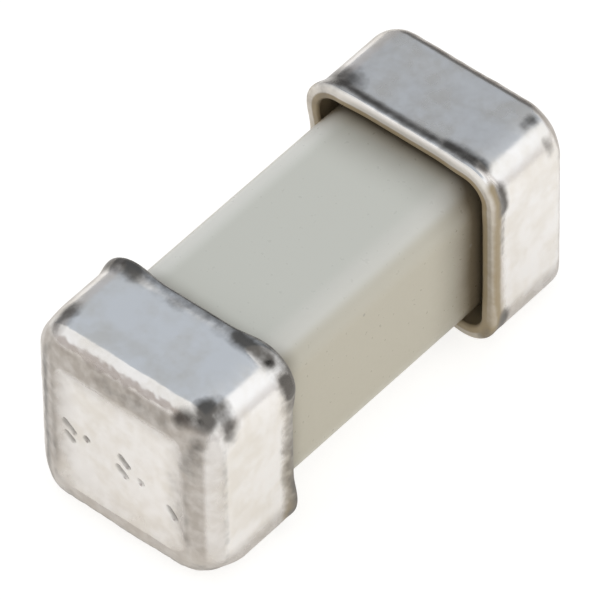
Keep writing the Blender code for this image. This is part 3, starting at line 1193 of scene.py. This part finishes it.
@dataclass
class Studio:
    """A white light tent with a dim opening behind the fuse, over a white sweep."""

    floor_radius: float = 45 * MM
    floor_white: Colour = (1.0, 1.0, 1.0)
    floor_share: float = 0.34
    floor_bounce: Colour = (0.97, 0.94, 0.90)
    floor_light: Colour = (1.0, 0.99, 0.97)
    floor_glow: float = 0.80
    bounce_glow: float = 0.17
    seen: Colour = (1.0, 1.0, 1.0)
    dome: Colour = (1.06, 1.065, 1.075)
    horizon: Colour = (0.80, 0.775, 0.765)
    horizon_span: Span = (0.05, 0.40)
    cards: Sequence[Card] = (
        Card(26.0, 10.0, 16.0, 22.0, 7.0, (0.20, 0.20, 0.205)),
        Card(62.0, 8.0, 14.0, 26.0, 7.0, (0.50, 0.50, 0.515)),
        Card(20.0, 52.0, 34.0, 13.0, 8.0, (0.53, 0.57, 0.625)),
        Card(150.0, 6.0, 24.0, 16.0, 10.0, (0.58, 0.53, 0.51)),
        Card(-139.0, 47.3, 5.0, 5.0, 6.0, (0.12, 0.12, 0.12)),
    )

    def light(self) -> None:
        """Make the world, which the camera sees as plain white."""
        world = bpy.data.worlds.new("light_tent")
        bpy.context.scene.world = world
        world.use_nodes = True
        world.node_tree.nodes.clear()
        graph = Graph(world.node_tree)
        look = graph.vector("NORMALIZE", graph.add("ShaderNodeTexCoord", {}).outputs["Generated"]).outputs[0]
        height = graph.add("ShaderNodeSeparateXYZ", {0: look}).outputs[2]
        tone = graph.mix(graph.ease(height, *self.horizon_span), self.horizon, self.dome)
        for card in self.cards:
            tone = graph.mix(card.mask(graph, look), tone, card.colour)
        room = graph.out("ShaderNodeBackground", {"Color": tone})
        white = graph.out("ShaderNodeBackground", {"Color": self.seen})
        seen = graph.out("ShaderNodeLightPath", {})
        shown = graph.out("ShaderNodeMixShader", {0: seen, 1: room, 2: white})
        graph.add("ShaderNodeOutputWorld", {"Surface": shown})

    def floor(self) -> None:
        """Lay the floor, which is white to the camera and slightly warm to the fuse."""
        bpy.ops.mesh.primitive_circle_add(vertices=96, radius=self.floor_radius, fill_type="NGON")
        sweep = bpy.context.object
        sweep.name = "white_sweep"
        material, graph, shader = new_material("white_sweep")
        seen = graph.out("ShaderNodeLightPath", {})
        dimmed = tuple(channel * self.floor_share for channel in self.floor_white)
        look = {
            "Base Color": graph.mix(seen, self.floor_bounce, dimmed),
            "Roughness": 0.9,
            "Specular IOR Level": 0.0,
            "Emission Color": self.floor_light,
            "Emission Strength": graph.ease(seen, 0.0, 1.0, self.bounce_glow, self.floor_glow),
        }
        graph.feed(shader, look)
        sweep.data.materials.append(material)
        sweep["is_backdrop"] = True


@dataclass(frozen=True)
class PhotoCamera:
    """The photograph's view: a long lens, a little turned."""

    azimuth: float = 41.004
    elevation: float = 47.319
    distance: float = 115.17 * MM
    aim: tuple[float, float, float] = (-0.0244 * MM, 0.0097 * MM, 1.3339 * MM)
    roll: float = -1.039
    lens: float = 634.35

    def build(self) -> Object:
        """Make the camera and return it."""
        turn, fall = math.radians(self.azimuth), math.radians(self.elevation)
        look = Vector((math.cos(fall) * math.cos(turn), math.cos(fall) * math.sin(turn), -math.sin(fall)))
        right = look.cross(Vector((0.0, 0.0, 1.0))).normalized()
        up = right.cross(look)
        tilt = math.radians(self.roll)
        axes = Matrix((
            right * math.cos(tilt) + up * math.sin(tilt),
            up * math.cos(tilt) - right * math.sin(tilt),
            -look,
        )).transposed()
        data = bpy.data.cameras.new("photo_camera")
        data.sensor_width = 36.0
        data.lens = self.lens
        data.clip_start = 1 * MM
        data.clip_end = 1.0
        camera = add_object(data.name, data)
        camera.matrix_world = Matrix.Translation(Vector(self.aim) - look * self.distance) @ axes.to_4x4()
        bpy.context.scene.camera = camera
        return camera


STRUCK_MARKS = (
    Mark((0.80, 0.02), (0.68, -0.08)),
    Mark((0.78, -0.16), (0.70, -0.22)),
    Mark((0.50, -0.06), (0.49, -0.07)),
    Mark((0.02, -0.02), (-0.08, -0.10)),
    Mark((0.05, -0.20), (-0.05, -0.28)),
    Mark((-0.26, -0.22), (-0.27, -0.23)),
    Mark((-0.66, -0.36), (-0.74, -0.46)),
)

# Dark patches on the left cap's corners, ears and rim: mostly painted shade and painted reflection, partly
# staining.
LEFT_SHADE_AND_STAIN = (
    ShadeAndStainPatch((-2.93, -0.84, 1.16), (-2.82, -1.10, 1.17), 0.11, 1.12),
    ShadeAndStainPatch((-2.78, -1.00, 1.25), (-2.68, -1.06, 1.29), 0.11, 1.15),
    ShadeAndStainPatch((-2.62, -1.10, 1.22), (-2.66, -1.28, 1.00), 0.13, 0.70),
    ShadeAndStainPatch((-2.96, -1.06, 0.90), (-3.00, -0.98, 0.50), 0.15, 0.48),
    ShadeAndStainPatch((-3.03, 0.25, 1.03), (-3.03, -0.60, 1.03), 0.13, 0.28),
    ShadeAndStainPatch((-3.04, -0.74, 0.20), (-3.04, -0.80, -0.50), 0.13, 0.22),
    ShadeAndStainPatch((-2.84, 0.98, 1.18), (-2.56, 1.04, 1.29), 0.12, 0.72),
    ShadeAndStainPatch((-1.72, 1.18, 1.18), (-1.75, 0.84, 1.33), 0.15, 1.02),
    ShadeAndStainPatch((-1.74, 0.84, 1.33), (-1.72, 0.30, 1.33), 0.06, 0.70),
    ShadeAndStainPatch((-1.74, -0.40, 1.33), (-1.72, -1.06, 1.29), 0.07, 0.55),
    ShadeAndStainPatch((-1.78, -0.62, 1.33), (-1.80, -1.06, 1.26), 0.12, 0.92),
    ShadeAndStainPatch((-1.77, -1.30, 1.08), (-1.76, -1.34, 0.88), 0.088, 1.25),
    ShadeAndStainPatch((-1.72, -1.28, -1.05), (-1.72, -1.10, -1.28), 0.13, 0.90),
    ShadeAndStainPatch((-1.72, 1.28, -0.95), (-1.72, 1.10, -1.28), 0.13, 0.80),
    ShadeAndStainPatch((-2.86, 1.05, -1.15), (-2.92, 0.75, -1.10), 0.12, 0.60),
    ShadeAndStainPatch((-2.84, -1.12, -1.12), (-2.90, -1.00, -1.00), 0.12, 0.55),
)

# Dark patches on the right cap's corners, ears and rim: mostly painted shade and painted reflection, partly
# staining.
RIGHT_SHADE_AND_STAIN = (
    ShadeAndStainPatch((-1.90, -1.28, 0.94), (-1.88, -0.94, 1.30), 0.20, 0.85),
    ShadeAndStainPatch((-1.82, 0.55, 1.31), (-1.84, 1.02, 1.24), 0.10, 0.95),
    ShadeAndStainPatch((-1.85, 1.24, 1.02), (-1.84, 1.29, 0.80), 0.095, 0.98),
    ShadeAndStainPatch((-1.84, 1.31, 0.80), (-1.83, 1.31, 0.10), 0.05, 0.45),
    ShadeAndStainPatch((-2.60, 1.00, 1.31), (-2.74, 0.99, 1.28), 0.07, 0.75),
    ShadeAndStainPatch((-2.72, 1.24, 1.14), (-2.70, 1.31, 0.98), 0.07, 0.65),
    ShadeAndStainPatch((-1.74, 1.24, -1.20), (-1.84, 1.33, -0.95), 0.12, 0.85),
    ShadeAndStainPatch((-1.74, -1.28, -0.95), (-1.74, -1.10, -1.28), 0.12, 0.80),
    ShadeAndStainPatch((-2.80, -1.10, 1.15), (-2.93, -0.80, 1.12), 0.10, 0.60),
    ShadeAndStainPatch((-2.86, 1.05, -1.15), (-2.92, 0.75, -1.10), 0.12, 0.60),
)


def clear_scene() -> None:
    """Remove whatever the scene holds."""
    for old in list(bpy.data.objects):
        bpy.data.objects.remove(old, do_unlink=True)


def main() -> None:
    """Build the studio, the camera and the dressed fuse."""
    logging.basicConfig(level=logging.INFO, format="%(name)s: %(message)s")
    clear_scene()
    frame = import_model()
    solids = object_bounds()
    length = solids[1].x - solids[0].x
    side = solids[1].z - solids[0].z

    PhotoCamera().build()
    studio = Studio()
    studio.light()
    studio.floor()
    bpy.context.scene.view_settings.view_transform = "Standard"

    plate = PlateFinish().material()
    for cap in (
        EndCap(End.LEFT, "end_cap_left", length, side, STRUCK_MARKS, LEFT_SHADE_AND_STAIN, lip_stain=0.78),
        EndCap(
            End.RIGHT, "end_cap_right", length, side, (), RIGHT_SHADE_AND_STAIN, panel_wear=0.37, groove=0.78,
            outer_runs=(0.06 * MM, 0.12 * MM), wall_tightness=(0.0, 0.17, 0.17, 0.36),
            end_tightness=(0.0, 0.17, 0.17, 0.34), outer_edge=EdgeLook(1.0, 1.0, 0.22, 0.36),
            top_edge=EdgeLook(1.0, 1.0, 0.0, 0.1), bump_depth=0.004 * MM, seed=8.0,
        ),
    ):
        cap.build(plate)
        cap.dress()
        log.info("%s has %d faces", cap.shell.name, len(cap.shell.data.polygons))

    low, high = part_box("ceramic_body")
    tube = CeramicTube("ceramic_body", high.x - low.x, high.z - low.z, (low.z + high.z) / 2)
    tube.build(CeramicFinish(tube.floor_to_axis).material())
    tube.dress()
    log.info("%s has %d faces", tube.skin.name, len(tube.skin.data.polygons))

    solder = DullMetalFinish("solder", (0.46, 0.45, 0.44), (0.30, 0.29, 0.28), 0.45, 6.0)
    link = DullMetalFinish("fuse_link", (0.74, 0.70, 0.64), (0.60, 0.56, 0.50), 0.30, 12.0)
    for node, finish in (("solder_left", solder), ("solder_right", solder), ("fuse_wire", link)):
        InnerMetal(node, finish).dress(frame)
        log.info("%s keeps its solid", node)


if __name__ == "__main__":
    main()
